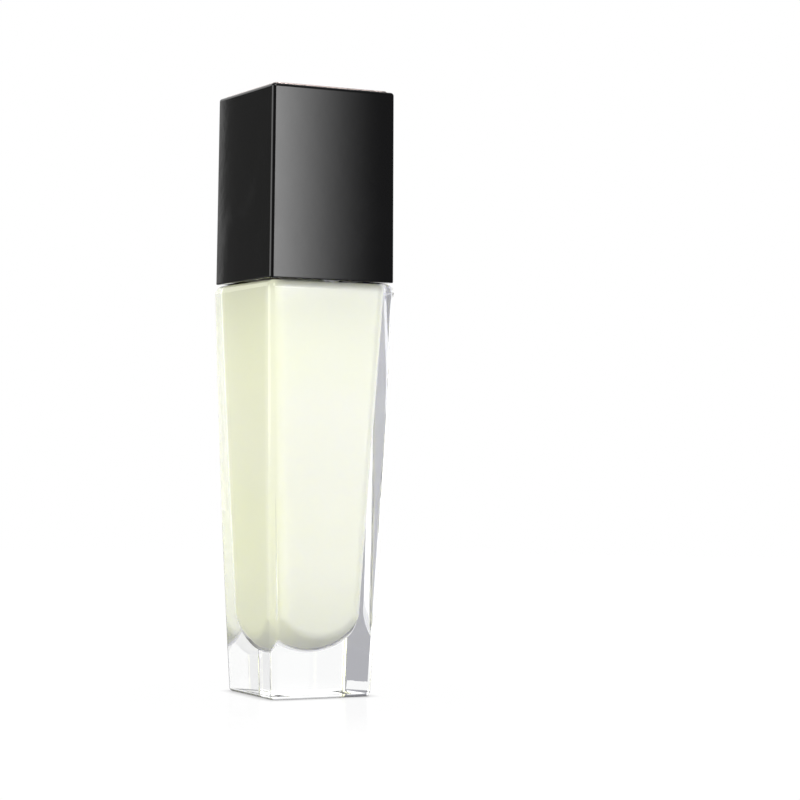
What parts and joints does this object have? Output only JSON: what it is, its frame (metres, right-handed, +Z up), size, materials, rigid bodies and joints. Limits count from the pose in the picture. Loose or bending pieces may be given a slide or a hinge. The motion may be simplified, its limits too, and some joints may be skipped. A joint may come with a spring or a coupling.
{
  "type": "aftershave bottle",
  "caption": "Square glass aftershave balm bottle, narrowing to a thick base, with a screw-on treatment pump and a tall square pull-off overcap.",
  "frame": {"origin": "middle of the base, on the plane that the bottle stands on", "axes": "+Z up along the bottle, -Y the way the spout points, +X to the right as seen from the spout's side"},
  "size_m": [0.0344, 0.0344, 0.1504],
  "materials": {
    "clear_glass": "clear polished flint glass",
    "balm": "opaque milky balm, pale yellow-green",
    "gasket_foam": "white polyethylene foam",
    "natural_plastic": "natural polypropylene",
    "tube_plastic": "translucent polyethylene",
    "steel_ball": "polished stainless steel",
    "spring_steel": "drawn stainless wire",
    "piston_plastic": "white polyethylene",
    "black_plastic": "satin black polypropylene",
    "collar_metal": "polished anodised, pale rose",
    "gloss_black": "polished black",
    "rose_metal": "satin anodised, pale rose",
    "liner_plastic": "satin black polypropylene"
  },
  "bodies": {
    "bottle": {"glass_bottle": "clear_glass", "balm_fill": "balm"},
    "engine": {"neck_gasket": "gasket_foam", "pump_housing": "natural_plastic", "dip_tube": "tube_plastic", "ball_retainer": "natural_plastic", "return_spring": "spring_steel", "chaplet": "natural_plastic"},
    "check_ball": {"inlet_ball": "steel_ball"},
    "plunger": {"valve_pin": "natural_plastic", "piston": "piston_plastic", "stem": "natural_plastic"},
    "actuator": {"actuator_core": "black_plastic", "actuator_shell": "collar_metal", "spout": "black_plastic"},
    "closure": {"screw_closure": "black_plastic", "collar_sleeve": "collar_metal"},
    "overcap": {"overcap_shell": "gloss_black", "cap_plate": "rose_metal", "overcap_liner": "liner_plastic"}
  },
  "joints": [
    {"name": "pump_rise", "type": "slide", "parent": "bottle", "child": "engine", "axis": [0, 0, 1], "range_m": [0, 0.0048]},
    {"name": "closure_turn", "type": "hinge", "parent": "engine", "child": "closure", "pos_m": [0, 0, 0.11], "axis": [0, 0, 1], "range_deg": [0, 540]},
    {"name": "overcap_lift", "type": "slide", "parent": "closure", "child": "overcap", "axis": [0, 0, 1], "range_m": [0, 0.055]},
    {"name": "pump_stroke", "type": "slide", "parent": "engine", "child": "plunger", "axis": [0, 0, 1], "range_m": [-0.006, 0], "stiffness_N_per_m": 800, "springref_m": 0.005, "deforming": ["return_spring"]},
    {"name": "actuator_turn", "type": "hinge", "parent": "plunger", "child": "actuator", "pos_m": [0, 0, 0.1333], "axis": [0, 0, 1], "continuous": true},
    {"name": "inlet_valve", "type": "slide", "parent": "engine", "child": "check_ball", "axis": [0, 0, 1], "range_m": [0, 0.0015]}
  ],
  "couplings": [
    {"joint": "pump_rise", "follows": "closure_turn", "m_per_rad": 0.00050532}
  ]
}
